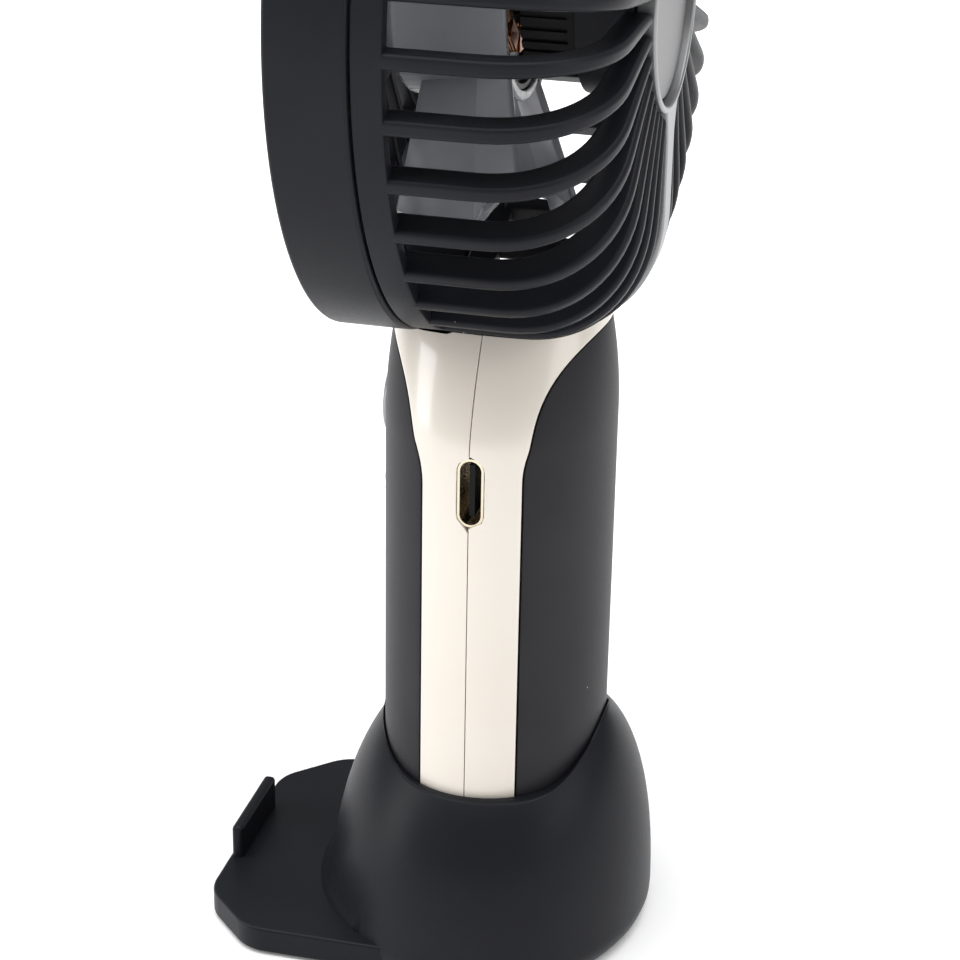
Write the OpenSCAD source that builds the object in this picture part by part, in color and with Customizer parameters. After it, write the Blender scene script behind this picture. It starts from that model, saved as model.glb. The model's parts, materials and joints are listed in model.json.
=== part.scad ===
// Handheld electric fan standing in its dock, which is also a phone rest.
// Millimetres. +Z is up, the air leaves towards -Y, the charging socket faces +X.
// The origin is on the underside of the dock's pad, below the middle of the handle.

/* [Handle] */
// Half width of the oval grip, side to side
grip_rx = 17; // [16:0.1:18]
// Half depth of the oval grip, front to back
grip_ry = 14.4; // [13.8:0.1:15]
// Height at which the grip starts to narrow into the neck
neck_start = 72; // [71:0.5:74]
// How much each side of the grip draws in at the top of the neck
neck_pinch_x = 6.2; // [4:0.1:7]
// How much the front and back draw in at the top of the neck
neck_pinch_y = 1.25; // [0:0.05:1.5]
// Thickness of the inlaid panels
panel_t = 1.2; // [1:0.1:1.5]
// Shadow gap round each inlaid panel
panel_gap = 0.15; // [0.1:0.01:0.3]
// Half width of each inlaid panel
panel_hw = 15.22; // [14.5:0.02:15.6]
// Height of the charging socket's centre
port_z = 66.8; // [65:0.1:68]

/* [Head] */
// Height of the air axis
head_z = 125.3; // [124.5:0.1:126.5]
// Radius of the front ring
ring_r = 41.8; // [41.6:0.1:42]
// Radius of the rear cage
cage_r = 41.5; // [41.2:0.1:41.6]
// Front edge of the front ring
ring_front = -16.8; // [-17.5:0.1:-16]
// Parting line between the front ring and the rear cage
part_y = -7.45; // [-8:0.05:-7]
// Rear edge of the cage's plain rim
rim_back = -3.8; // [-4.5:0.1:-3.5]
// Rear surface of the cage
back_y = 19.4; // [19:0.1:20]
// Positions round the cage, one of them taken by the spine
rib_count = 36; // [30:2:40]
// Thickness of a cage rib at the rim
rib_t = 2; // [1.5:0.05:2.2]
// Depth of a cage rib
rib_depth = 3.4; // [2.6:0.1:3.6]
// Bars in the front grille
bar_count = 36; // [24:2:40]

/* [Impeller] */
// Number of blades
blade_count = 5; // [3:1:7]
// Tip radius of the blades
blade_r = 33.5; // [30:0.5:35]
// Angle at which the impeller stands at rest
blade_phase = 51; // [0:1:71]
// Radius of the impeller's hub
hub_r = 14; // [13.8:0.1:14.5]

/* [Dock] */
// Half width of the dock's dome at the table
dome_rx = 24.8; // [24:0.1:26]
// Depth of the dome behind the handle's axis
dome_back = 21.3; // [20.5:0.1:22]
// Depth of the dome in front of the handle's axis
dome_front = 21.6; // [21:0.1:22.5]
// Height of the rim beside the handle
rim_side_z = 25; // [24:0.1:26]
// Height of the phone tray's top
tray_top = 4; // [3.6:0.1:4.6]
// Distance from the handle's axis to the tray's front edge
tray_reach = 35.2; // [34:0.1:36]
// Half width of the tray
tray_hw = 22.7; // [21:0.1:23.5]
// Height of the lip above the tray
lip_h = 4.7; // [4:0.1:5.5]
// Half length of the lip
lip_hl = 7.2; // [6:0.1:9]

/* [Hidden] */

$fn = 96;
EPS = 0.01;
BIG = 200;
RING_SEG = 64;          // points round a lofted oval
fit_gap = 0.3;          // running gap between the grip and the dock

charcoal = "#26282c";
cream = "#f2e9da";
silver = "#8d9093";
gunmetal = "#6d6e70";
smoke = "#8a9096";
steel = "#b9bcc0";
copper = "#b06a35";

// ---------- oval lofts ----------

// One ring of an oval whose front (-Y) and back (+Y) halves may differ
function oval(rx, front, back, z) =
    [for (i = [0:RING_SEG - 1]) let (t = 360 * i / RING_SEG)
        [rx * cos(t), (sin(t) < 0 ? front : back) * sin(t), z]];

// Closed solid through a list of rings with equal point counts, lowest ring first
module loft(rings) {
    n = len(rings[0]);
    m = len(rings);
    sides = [for (k = [0:m - 2], i = [0:n - 1])
        [k * n + i, (k + 1) * n + i, (k + 1) * n + (i + 1) % n, k * n + (i + 1) % n]];
    floor_face = [for (i = [0:n - 1]) i];
    roof_face = [for (i = [n - 1:-1:0]) (m - 1) * n + i];
    polyhedron([for (r = rings) each r], concat(sides, [floor_face, roof_face]), convexity = 6);
}

// ---------- handle ----------

grip_bottom = 5.2;
neck_top = 86;
grip_edge = 0.8;        // rounding at the grip's foot
wall_in = 2.8;          // from the grip's outside to its cavity
collar_z = 80.8;        // underside of the collar that holds the neck stub
stub_r = 6;
saddle_gap = 0.32;       // between the cage and the handle

function neck_u(z) = max(0, (z - neck_start) / (neck_top - neck_start));
function grip_x(z) = grip_rx - neck_pinch_x * pow(neck_u(z), 1.5);
function grip_y(z) = grip_ry - neck_pinch_y * pow(neck_u(z), 2);
neck_levels = [72, 74.5, 77, 79, 81, 83, 85, 88];

// The grip's outside, drawn in by d all round, between two heights
module grip(d, z0, z1, edge = 0) {
    levels = [for (z = neck_levels) if (z > z0 + EPS && z < z1 - EPS) z];
    foot = edge > 0
        ? [oval(grip_rx - d - edge, grip_ry - d - edge, grip_ry - d - edge, z0),
           oval(grip_rx - d, grip_ry - d, grip_ry - d, z0 + edge)]
        : [oval(grip_x(z0) - d, grip_y(z0) - d, grip_y(z0) - d, z0)];
    loft(concat(foot,
        [for (z = concat(levels, [z1])) oval(grip_x(z) - d, grip_y(z) - d, grip_y(z) - d, z)]));
}

// Front view outline of a panel: straight sides under an arch that starts lower on the front
arch_foot = 68.2;
arch_drop = 1.6;
arch_h = 16.4;
arch_power = 2.1;
module panel_outline(dir, grow) {
    hw = panel_hw + grow;
    h = arch_h + grow;
    foot = arch_foot - (dir < 0 ? arch_drop : 0);
    arch = [for (i = [0:16]) let (t = 90 * i / 16)
        [hw * pow(cos(t), 2 / arch_power), foot + h * pow(sin(t), 2 / arch_power)]];
    left = [for (i = [16:-1:0]) [-arch[i][0], arch[i][1]]];
    polygon(concat([[-hw, grip_bottom + 1.4 - grow], [hw, grip_bottom + 1.4 - grow]], arch, left));
}

// Everything in front of (dir = -1) or behind (dir = 1) the seam, inside a front view outline
module along_depth(dir) {
    translate([0, dir > 0 ? grip_ry + 2 : -EPS, 0])
        rotate([90, 0, 0])
            linear_extrude(grip_ry + 2) children();
}

seam_gap = 0.06;        // half of the seam between the two halves
screw_x = 11.75;
screw_zs = [14, 54];
boss_r = 1.95;
board_z0 = 59.6;
board_z1 = 76;
board_y = 2;            // front face of the board
board_t = 1;
peg_x = 7.4;            // pegs that hold the board between the halves
peg_z = 74.4;
button_z = 71.5;
button_r = 5;
button_gap = 0.2;
led_z = 61.8;
led_xs = [-5.4, -1.8, 1.8, 5.4];
pipe_r = 0.8;
usb_y = 0.15;           // the socket sits a little off the seam
usb_h = 8.94;
usb_w = 3.26;
usb_wall = 0.3;
usb_mouth_x = 16.75;
usb_depth = 7.35;

// Rounded slot shape of the socket, long side along Z, running along X
module usb_bar(h, w, x0, x1) {
    for (s = [-1, 1])
        translate([x0, usb_y, port_z + s * (h - w) / 2])
            rotate([0, 90, 0]) cylinder(d = w, h = x1 - x0);
    translate([x0, usb_y - w / 2, port_z - (h - w) / 2]) cube([x1 - x0, w, h - w]);
}

module screw_axis(x, z) {
    translate([x, 0, z]) rotate([-90, 0, 0]) children();
}

// dir = -1 is the front half, dir = 1 the rear half
module handle_shell(dir) {
    difference() {
        union() {
            difference() {
                grip(0, grip_bottom, neck_top + 2, grip_edge);
                grip(wall_in, grip_bottom + 1.8, collar_z);
            }
            intersection() {
                grip(wall_in - 0.3, grip_bottom + 1, collar_z);
                union() {
                    for (x = [-screw_x, screw_x], z = screw_zs)
                        screw_axis(x, z) translate([0, 0, -grip_ry]) cylinder(r = boss_r, h = 2 * grip_ry);
                    if (dir > 0)
                        for (x = [-peg_x, peg_x])
                            screw_axis(x, peg_z) translate([0, 0, board_y + board_t + 0.1])
                                cylinder(r = 1.4, h = grip_ry);
                    if (dir < 0)
                        for (x = [-peg_x, peg_x])
                            screw_axis(x, peg_z) translate([0, 0, -grip_ry])
                                cylinder(r = 1.4, h = grip_ry + board_y - 0.1);
                }
            }
        }
        // keep one side of the seam
        translate([-BIG / 2, dir > 0 ? -BIG + seam_gap : -seam_gap, -BIG / 2]) cube(BIG);
        // recess for the panel
        difference() {
            along_depth(dir) panel_outline(dir, panel_gap);
            grip(panel_t + 0.12, 0, neck_top + 4);
        }
        // saddle that the cage sits in, and the bore for its stub
        cage_space(saddle_gap);
        translate([0, 2, collar_z - 1]) cylinder(r = stub_r + 0.12, h = 10);
        // screws
        for (x = [-screw_x, screw_x], z = screw_zs) {
            if (dir > 0) {
                screw_axis(x, z) translate([0, 0, -1]) cylinder(r = 1.15, h = 20);
                screw_axis(x, z) translate([0, 0, 5.15]) cylinder(r = 2.1, h = 10);
            }
            if (dir < 0)
                screw_axis(x, z) translate([0, 0, -7.2]) cylinder(r = 0.95, h = 9);
        }
        // socket opening
        usb_bar(usb_h + 0.24, usb_w + 0.24, 8, 20);
        if (dir < 0) {
            screw_axis(0, button_z) translate([0, 0, -20]) cylinder(r = button_r + button_gap, h = 18);
            for (x = led_xs)
                screw_axis(x, led_z) translate([0, 0, -20]) cylinder(r = pipe_r + 0.1, h = 18);
        }
    }
}

module handle_front_half() {
    color(cream) handle_shell(-1);
}

module handle_rear_half() {
    color(cream) handle_shell(1);
}

module panel(dir) {
    difference() {
        intersection() {
            grip(0, grip_bottom, neck_top + 2);
            along_depth(dir) panel_outline(dir, 0);
        }
        grip(panel_t, grip_bottom - 1, neck_top + 3);
        cage_space(saddle_gap);
        if (dir < 0) {
            screw_axis(0, button_z) translate([0, 0, -20]) cylinder(r = button_r + button_gap, h = 18);
            for (x = led_xs)
                screw_axis(x, led_z) translate([0, 0, -20]) cylinder(r = pipe_r + 0.1, h = 18);
        }
    }
}

module front_panel() {
    color(charcoal) panel(-1);
}

module rear_panel() {
    color(charcoal) panel(1);
}

// Pan-head screw along +Z with its head's top at 0
module pan_screw(head_r, head_h, shank_r, length) {
    difference() {
        translate([0, 0, -head_h]) cylinder(r = head_r, h = head_h);
        for (a = [0, 90])
            rotate([0, 0, a]) translate([-head_r * 0.6, -head_r * 0.14, -head_h * 0.5])
                cube([head_r * 1.2, head_r * 0.28, head_h]);
    }
    translate([0, 0, -head_h - length]) cylinder(r = shank_r, h = length + EPS);
}

module handle_screws() {
    color(steel)
        for (x = [-screw_x, screw_x], z = screw_zs)
            screw_axis(x, z) translate([0, 0, 6.3]) pan_screw(1.9, 1.1, 0.9, 12.2);
}

// ---------- inside the handle ----------

cell_r = 9.1;
cell_z0 = 8.4;
cell_h = 49.8;

module battery_cell() {
    color("#3f7fb5") {
        translate([0, 0, cell_z0]) cylinder(r = cell_r, h = cell_h - 1);
        translate([0, 0, cell_z0 + cell_h - 1 - EPS]) cylinder(r = 3.2, h = 1);
    }
}

module battery_tabs() {
    color(steel) {
        translate([-2, -7, cell_z0 - 0.6]) cube([4, 14, 0.35]);
        translate([-2, -4, cell_z0 + cell_h + 0.15]) cube([4, 8, 0.35]);
    }
}

module main_board() {
    color("#1f5a3a") {
        difference() {
            translate([-9.5, board_y, board_z0]) cube([21.8, board_t, board_z1 - board_z0]);
            for (x = [-peg_x, peg_x])
                screw_axis(x, peg_z) translate([0, 0, board_y - 1]) cylinder(r = 0.6, h = 3);
        }
        translate([-8, board_y - 1.1, board_z0 + 5]) cube([4, 1.1 + EPS, 3]);
        translate([2.5, board_y - 1.6, board_z0 + 5.2]) cube([3.4, 1.6 + EPS, 3.4]);
    }
}

module usb_shell() {
    color(steel)
        difference() {
            usb_bar(usb_h, usb_w, usb_mouth_x - usb_depth, usb_mouth_x);
            usb_bar(usb_h - 2 * usb_wall, usb_w - 2 * usb_wall, usb_mouth_x - usb_depth + 0.8, 20);
        }
}

module usb_tongue() {
    color(charcoal)
        translate([usb_mouth_x - usb_depth + 0.85, usb_y - 0.35, port_z - 3.35])
            cube([usb_depth - 1.75, 0.7, 6.7]);
}

switch_front = -2.4;
module tact_switch() {
    color(charcoal) {
        translate([-3, -1.6, button_z - 3]) cube([6, board_y - 0.02 + 1.6, 6]);
        screw_axis(0, button_z) translate([0, 0, switch_front]) cylinder(r = 1.7, h = 1);
    }
}

module status_leds() {
    color("white")
        for (x = led_xs)
            translate([x - 0.8, board_y - 0.72, led_z - 0.4]) cube([1.6, 0.7, 0.8]);
}

module light_guide() {
    color("#e8eef2") {
        for (x = led_xs)
            screw_axis(x, led_z)
                translate([0, 0, -grip_ry * sqrt(1 - pow(x / grip_rx, 2)) + 0.25])
                    cylinder(r = pipe_r, h = grip_ry * sqrt(1 - pow(x / grip_rx, 2)) + 0.75);
        translate([led_xs[0], -9.8, led_z - 0.6]) cube([led_xs[3] - led_xs[0], 1.2, 1.2]);
    }
}

button_travel = 0.5;
module power_button() {
    color(silver) {
        screw_axis(0, button_z) {
            translate([0, 0, -14.3]) cylinder(r1 = button_r - 0.4, r2 = button_r, h = 0.4);
            difference() {
                translate([0, 0, -13.9 - EPS]) cylinder(r = button_r, h = 3.8);
                translate([0, 0, -13]) cylinder(r = button_r - 1, h = 4);
            }
            translate([0, 0, -10.3]) difference() {
                cylinder(r = button_r + 1, h = 0.7);
                translate([0, 0, -EPS]) cylinder(r = button_r - 1, h = 1);
            }
            translate([0, 0, -13.5]) cylinder(r = 1.5, h = 13.5 + switch_front - button_travel - 0.1);
        }
    }
}

// ---------- head, drawn with local +Z towards the back and local +Y down to the handle ----------

module head() {
    translate([0, 0, head_z]) rotate([-90, 0, 0]) children();
}

corner_r = 26;          // where the back face starts to turn
corner_y = 5;           // where the side starts to turn
corner_power = 2.2;
turn_steps = 12;
bezel_r = 14.1;
ring_in = bezel_r - 0.9;
disc_r = ring_in - 0.4;
trim_hw = 1.95;

// Points [radius, depth] round the cage's back corner, d below its surface
function turn(d) = [for (i = [0:turn_steps]) let (t = 90 * i / turn_steps)
    [corner_r + (cage_r - corner_r - d) * pow(cos(t), 2 / corner_power),
     corner_y + (back_y - corner_y - d) * pow(sin(t), 2 / corner_power)]];

function reversed(list) = [for (i = [len(list) - 1:-1:0]) list[i]];

// Band of the cage's wall between two depths, as [radius, depth] points
function wall_band(d0, d1, r_in, y_front) = concat(
    [[cage_r - d0, y_front]], turn(d0), [[r_in, back_y - d0]],
    [[r_in, back_y - d1]], reversed(turn(d1)), [[cage_r - d1, y_front]]);

// The space that the cage and front ring take, grown by g, for the parts next to it
module cage_space(g) {
    head()
        rotate_extrude()
            polygon(concat([[0, ring_front - 4]], [[ring_r + g, ring_front - 4], [ring_r + g, rim_back]],
                turn(-g), [[0, back_y + g]]));
}

// Wedge blades for ribs: thinner towards the middle
module wedges(count, first, t_out, z0, z1, skip = []) {
    for (k = [0:count - 1])
        if (len(search(k, skip)) == 0)
            rotate([0, 0, -(first + 360 * k / count)])
                translate([0, 0, z0])
                    linear_extrude(z1 - z0)
                        polygon([[-t_out * 0.32, 10], [t_out * 0.32, 10],
                            [t_out / 2, ring_r + 2], [-t_out / 2, ring_r + 2]]);
}

ledge_r = 38.7;
tab_r = 38.3;
lug_angle = 12;
lug_count = 3;
lug_first = 60;
plate_back = 17.2;      // rear face of the cage's centre plate
cup_front = 10;
motor_screw_r = 7.4;
motor_screw_n = 3;

// Ring segment round local Z
module arc_block(r0, r1, z0, z1, a0, a1) {
    translate([0, 0, z0])
        rotate([0, 0, a0]) rotate_extrude(angle = a1 - a0)
            translate([r0, 0]) square([r1 - r0, z1 - z0]);
}

module tube(r_out, r_in, z0, z1) {
    translate([0, 0, z0])
        difference() {
            cylinder(r = r_out, h = z1 - z0);
            translate([0, 0, -1]) cylinder(r = r_in, h = z1 - z0 + 2);
        }
}

spine_hw = 2.5;
lead_hw = 1.5;

// Plate along the spine between two depths, swept straight across local X
module spine_slab(hw, d0, d1, r_in, y_front) {
    translate([-hw, 0, 0]) rotate([90, 0, 90]) linear_extrude(2 * hw)
        polygon(wall_band(d0, d1, r_in, y_front));
}

module rear_cage() {
    color(charcoal) {
        head() {
            difference() {
                union() {
                    intersection() {
                        rotate_extrude() polygon(wall_band(0, rib_depth, bezel_r + 0.1, rim_back - 1));
                        wedges(rib_count, 0, rib_t, rim_back - 1, back_y + 1, [0]);
                    }
                    tube(cage_r, cage_r - 2.1, part_y + 0.15, rim_back);
                    for (k = [0:lug_count - 1])
                        arc_block(ledge_r, cage_r - 1, part_y + 0.15, part_y + 1.25,
                            lug_first + 120 * k - lug_angle / 2, lug_first + 120 * k + lug_angle / 2);
                    // centre plate, its seat under the trim ring, and the motor cup
                    translate([0, 0, plate_back - 1.5]) cylinder(r = bezel_r + 1.4, h = 1.5);
                    tube(12.4, 11, cup_front, plate_back - 1);
                    // spine, from the neck to the plate
                    spine_slab(spine_hw, 0.9, rib_depth + 0.4, bezel_r + 0.1, rim_back - 1);
                    // neck plate and the stub that the handle holds
                    intersection() {
                        rotate_extrude() polygon(wall_band(0, 3.2, bezel_r + 0.1, part_y + 0.15));
                        translate([-7.5, 0, part_y]) cube([15, 60, 10.5 - part_y]);
                    }
                    translate([0, head_z - collar_z - 2.2, 2]) {
                        rotate([90, 0, 0]) cylinder(r = stub_r, h = 5);
                    }
                    translate([0, head_z - collar_z + 1.9, 2])
                        rotate([90, 0, 0]) cylinder(r = stub_r, h = 4.6);
                    translate([0, head_z - collar_z + 2, 2])
                        rotate([90, 0, 0]) cylinder(r = stub_r + 1.4, h = 1.8);
                }
                // wire way up the stub and along the spine
                translate([0, 60, 4]) rotate([90, 0, 0]) cylinder(r = 1.9, h = 60 - cage_r + 2.2);
                spine_slab(lead_hw, -1, rib_depth - 0.9, bezel_r + 1.6, 3);
                // seat of the trim strip, clear of the ribs beside it
                intersection() {
                    spine_slab(trim_hw + 0.15, -1, 0.88, bezel_r - 1, 3);
                    translate([-5, 0, 11.2]) cube([10, 60, 20]);
                }
                translate([-lead_hw, 9, 12]) cube([2 * lead_hw, bezel_r - 6, plate_back - 1.4 - 12]);
                translate([-lead_hw, bezel_r + 0.6, 14]) cube([2 * lead_hw, 5, 4.6]);
                for (k = [0:motor_screw_n - 1])
                    rotate([0, 0, 60 + 120 * k]) translate([0, motor_screw_r, 0]) {
                        translate([0, 0, 12]) cylinder(r = 1.1, h = 8);
                        translate([0, 0, plate_back - 0.9]) cylinder(r = 2, h = 3);
                    }
            }
        }
    }
}

module rear_trim() {
    color(silver)
        head() {
            tube(bezel_r, ring_in, plate_back + 0.05, back_y + 0.3);
            intersection() {
                spine_slab(trim_hw, -0.22, 0.8, bezel_r - 0.6, 3);
                translate([-5, 0, 11.4]) cube([10, 60, 20]);
            }
        }
}

module rear_disc() {
    color(gunmetal)
        head() {
            translate([0, 0, plate_back + 0.05]) cylinder(r = disc_r, h = 1.1);
            translate([0, 0, plate_back + 1.15 - EPS]) cylinder(r1 = disc_r, r2 = disc_r - 0.3, h = 0.4);
        }
}

// ---------- motor ----------

tube_r = 4.2;
bearing_r = 3;
shaft_r = 1.5;
flange_z = 8.2;
skirt_r = 10.4;

module motor_base() {
    color(charcoal)
        head()
            difference() {
                union() {
                    tube(tube_r, bearing_r + 0.02, -8.6, flange_z + 1.6);
                    tube(skirt_r, tube_r - 0.5, flange_z, flange_z + 1.6);
                    tube(skirt_r, skirt_r - 1.3, 3.4, flange_z + EPS);
                    for (k = [0:motor_screw_n - 1])
                        rotate([0, 0, 60 + 120 * k]) translate([0, motor_screw_r, flange_z + 1])
                            cylinder(r = 2.1, h = plate_back - 1.6 - flange_z - 1);
                }
                for (k = [0:39])
                    rotate([0, 0, 9 * k]) translate([-0.3, skirt_r - 0.4, 3]) cube([0.6, 2, 5.8]);
                for (k = [0:motor_screw_n - 1])
                    rotate([0, 0, 60 + 120 * k]) translate([0, motor_screw_r, flange_z + 1.6])
                        cylinder(r = 0.95, h = 12);
                translate([-2, 5, flange_z - 1]) cube([4, 3, 4]);
            }
}

module motor_screws() {
    color(steel)
        head()
            for (k = [0:motor_screw_n - 1])
                rotate([0, 0, 60 + 120 * k]) translate([0, motor_screw_r, plate_back - 0.1])
                    pan_screw(1.8, 0.75, 0.9, 5.8);
}

module bearing(z0) {
    tube(bearing_r, bearing_r - 0.45, z0, z0 + 2.5);
    tube(shaft_r + 0.5, shaft_r + 0.05, z0, z0 + 2.5);
    tube(bearing_r - 0.4, shaft_r + 0.45, z0 + 0.3, z0 + 2.2);
}

module motor_bearings() {
    color(steel)
        head() {
            bearing(-8.4);
            bearing(5.4);
        }
}

tooth_n = 9;
module stator_core() {
    color("#5b5e63")
        head() {
            tube(5.8, tube_r + 0.04, -5.5, 0.5);
            for (k = [0:tooth_n - 1])
                rotate([0, 0, 360 * k / tooth_n]) {
                    translate([-1, 5.6, -5.5]) cube([2, 3.2, 6]);
                    arc_block(8.5, 9.9, -5.5, 0.5, 90 - 15, 90 + 15);
                }
        }
}

module stator_coils() {
    color(copper)
        head()
            for (k = [0:tooth_n - 1])
                rotate([0, 0, 360 * k / tooth_n])
                    difference() {
                        translate([-1.85, 6.05, -6.6]) cube([3.7, 2.15, 8.2]);
                        translate([-1.05, 5, -5.55]) cube([2.1, 4, 6.1]);
                    }
}

module rotor_bell() {
    color("#2e3034")
        head() {
            tube(12.6, 12, -9.7, 2.2);
            tube(12.6, shaft_r + 0.02, -10.4, -9.6);
            tube(3, shaft_r + 0.02, -9.7, -8.9);
        }
}

module magnet_ring() {
    color("#4a4c50")
        head() tube(11.95, 10.35, -7.5, 1.5);
}

module motor_shaft() {
    color(steel)
        head()
            difference() {
                translate([0, 0, -10.6]) cylinder(r = shaft_r, h = 20);
                tube(shaft_r + 1, shaft_r - 0.25, 8.25, 8.75);
            }
}

module shaft_clip() {
    color(steel)
        head()
            difference() {
                tube(2.6, shaft_r - 0.22, 8.3, 8.7);
                translate([-0.6, 0, 8]) cube([1.2, 4, 1]);
            }
}

// ---------- impeller ----------

blade_t = 1.3;
root_r = 13.3;
blade_stations = [0, 0.3, 0.6, 0.85, 1];

// How far the tip's corners are cut off, from 0 to 1 over the last part of the span
function tip_cut(u) = max(0, (u - 0.85) / 0.15);
// A blade's edge points at fraction u of its span: [angle, depth] of lead, crease and trail
function blade_lead(u) = [-9 - u + 4.5 * tip_cut(u), -8.4 + 5.7 * tip_cut(u)];
function blade_crease(u) = [-2, -1.5 + 3.6 * u];
function blade_trail(u) = [7 + u - 3.5 * tip_cut(u), 2.3 + 5.4 * u - 4.2 * tip_cut(u)];

// Point at radius r, turned by a degrees from straight down
function polar(r, a, z) = [r * sin(a), r * cos(a), z];

function blade_ring(u) =
    let (r = root_r + (blade_r - root_r) * u,
        l = blade_lead(u), c = blade_crease(u), t = blade_trail(u),
        half = blade_t / 2 * (1 - 0.35 * u))
    [polar(r, l[0], l[1] - half * 0.5), polar(r, c[0], c[1] - half), polar(r, t[0], t[1] - half * 0.5),
     polar(r, t[0], t[1] + half * 0.5), polar(r, c[0], c[1] + half), polar(r, l[0], l[1] + half * 0.5)];

module blade() {
    loft([for (u = blade_stations) reversed(blade_ring(u))]);
}

module impeller() {
    color(smoke, 0.6)
        head() {
            tube(hub_r, 12.75, -11.2, 2.6);
            difference() {
                translate([0, 0, -12.2]) cylinder(r1 = hub_r - 1.6, r2 = hub_r, h = 1.6);
                translate([0, 0, -10.7]) cylinder(r = 12.75, h = 3);
            }
            for (k = [0:blade_count - 1])
                rotate([0, 0, -(blade_phase + 360 * k / blade_count)]) blade();
        }
}

// ---------- front grille ----------

bar_in = -19.3;         // front face of the bars at the hub
bar_out = -16.3;        // front face of the bars at the ring
bar_depth = 2.4;

module front_grille() {
    color(charcoal)
        head() {
            rotate_extrude()
                polygon([[ring_r - 2.3, part_y - 0.1], [ring_r, part_y - 0.1], [ring_r, ring_front + 0.5],
                    [ring_r - 0.15, ring_front + 0.15], [ring_r - 0.5, ring_front],
                    [ring_r - 2.3, ring_front]]);
            intersection() {
                rotate_extrude()
                    polygon([[bezel_r + 0.05, bar_in], [26, bar_in + 0.7], [34, bar_in + 1.7],
                        [ring_r - 2.2, bar_out], [ring_r - 2.2, bar_out + bar_depth],
                        [34, bar_in + 1.7 + bar_depth], [26, bar_in + 0.7 + bar_depth],
                        [bezel_r + 0.05, bar_in + bar_depth]]);
                wedges(bar_count, 0, 1.5, bar_in - 1, bar_out + bar_depth + 1);
            }
            tube(28.6, 27.4, bar_in + 1.3, bar_in + 3);
            translate([0, 0, bar_in + 1.9]) cylinder(r = bezel_r + 1, h = 1.2);
            for (k = [0:lug_count - 1]) {
                a = lug_first + 120 * k;
                arc_block(tab_r - 1.2, ring_r - 2, part_y - 1.9, part_y - 0.1, a - 5, a + 5);
                arc_block(tab_r - 1.2, tab_r, part_y - 1, part_y + 2.4, a - 5, a + 5);
                arc_block(tab_r - 1.2, tab_r + 0.8, part_y + 1.5, part_y + 2.4, a - 5, a + 5);
            }
        }
}

module front_hub_ring() {
    color(silver)
        head() tube(bezel_r, ring_in, bar_in - 0.5, bar_in + 1.85);
}

module front_hub_disc() {
    color(gunmetal)
        head() {
            translate([0, 0, bar_in + 0.75]) cylinder(r = disc_r, h = 1.1);
            translate([0, 0, bar_in + 0.35]) cylinder(r1 = disc_r - 0.3, r2 = disc_r, h = 0.41);
        }
}

// ---------- leads ----------

lead_r = 0.55;
lead_x = 0.75;
lead_d = 1.65;          // from the spine's outside to the middle of a lead
// Route of the leads from the board, along the spine, to the motor, [depth, height below the air axis]
spine_points = turn(lead_d);
lead_route = concat([[2.6, 49], [3.2, 47], [4, 44.5], [4, 42.2], [4.3, 40.6]],
    [for (i = [1:turn_steps]) [spine_points[i][1], spine_points[i][0]]],
    [[back_y - lead_d, 21], [17.4, 18.4], [15.6, 16.4], [14.2, 14.6], [13.9, 12], [13.7, 9],
    [12.2, 7], [9.4, 6.5], [5, 6.7], [2.2, 7]]);

function unit(v) = v / norm(v);
function lead_dir(i) = unit(lead_route[min(i + 1, len(lead_route) - 1)] - lead_route[max(i - 1, 0)]);
function lead_ring(x, i) = let (p = lead_route[i], d = lead_dir(i))
    [for (k = [0:7]) let (a = 45 * k)
        [x + lead_r * cos(a), p[1] + lead_r * sin(a) * d[0], p[0] - lead_r * sin(a) * d[1]]];

module motor_leads() {
    color("#b5332e")
        head()
            for (x = [-lead_x, lead_x])
                loft([for (i = [0:len(lead_route) - 1]) lead_ring(x, i)]);
}

// ---------- dock ----------

skirt_z = 0.4;
plate_gap = 0.2;
dock_wall = 1.9;
lower_inset = 0.5;      // extra wall at the table, behind the rounding
socket_floor = 5;
dome_levels = [0.4, 1, 1.8, 3, 4, 5, 6.5, 9, 12, 15, 18, 20.5, 23, 25, 27, 29, 30.4];

// Drawn-in quarter curve: 1 at the table, falling towards height h
function dome_curve(z, h, power) = pow(1 - pow(z / h, power), 1 / power);
function foot_flare(z) = z < tray_top ? 1.7 : 1.7 * exp(-(z - tray_top) / 1.8);
// Rounding at the table
function foot_inset(z) = z < 3 ? 1.2 * pow((3 - z) / (3 - skirt_z), 2) : 0;

// Dome outline at a height, drawn in by d
function dome_ring(z, d) = oval(dome_rx * dome_curve(z, 31.2, 2.6) - d,
    dome_front * dome_curve(z, 35.6, 2.2) + foot_flare(z) - d,
    dome_back * dome_curve(z, 36.8, 2.6) - d, z);

// Plan outline of the tray, drawn in by d, with rounded front corners
corner_cut = 7.6;
corner_round = 5;
module tray_outline(d) {
    y0 = -tray_reach + d;
    x1 = tray_hw - d;
    c = corner_cut - d * 0.4;
    polygon(concat(
        [[-x1, -6], [x1, -6]],
        bend([x1, -6], [x1, y0 + c], [x1 - c, y0]),
        bend([x1, y0 + c], [x1 - c, y0], [0, y0]),
        bend([0, y0], [-x1 + c, y0], [-x1, y0 + c]),
        bend([-x1 + c, y0], [-x1, y0 + c], [-x1, -6])));
}

// Five points that round the corner b between a and c
function bend(a, b, c) = let (p = b + unit(a - b) * corner_round / 2, q = b + unit(c - b) * corner_round / 2)
    [for (i = [0:4]) let (t = i / 4) pow(1 - t, 2) * p + 2 * t * (1 - t) * b + t * t * q];

// Height of the rim, lowest beside the handle
function rim_z(y) = rim_side_z + (y < 0 ? 4 * pow(y / 14.8, 4) : 6 * pow(y / 14.8, 6.5));

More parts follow.
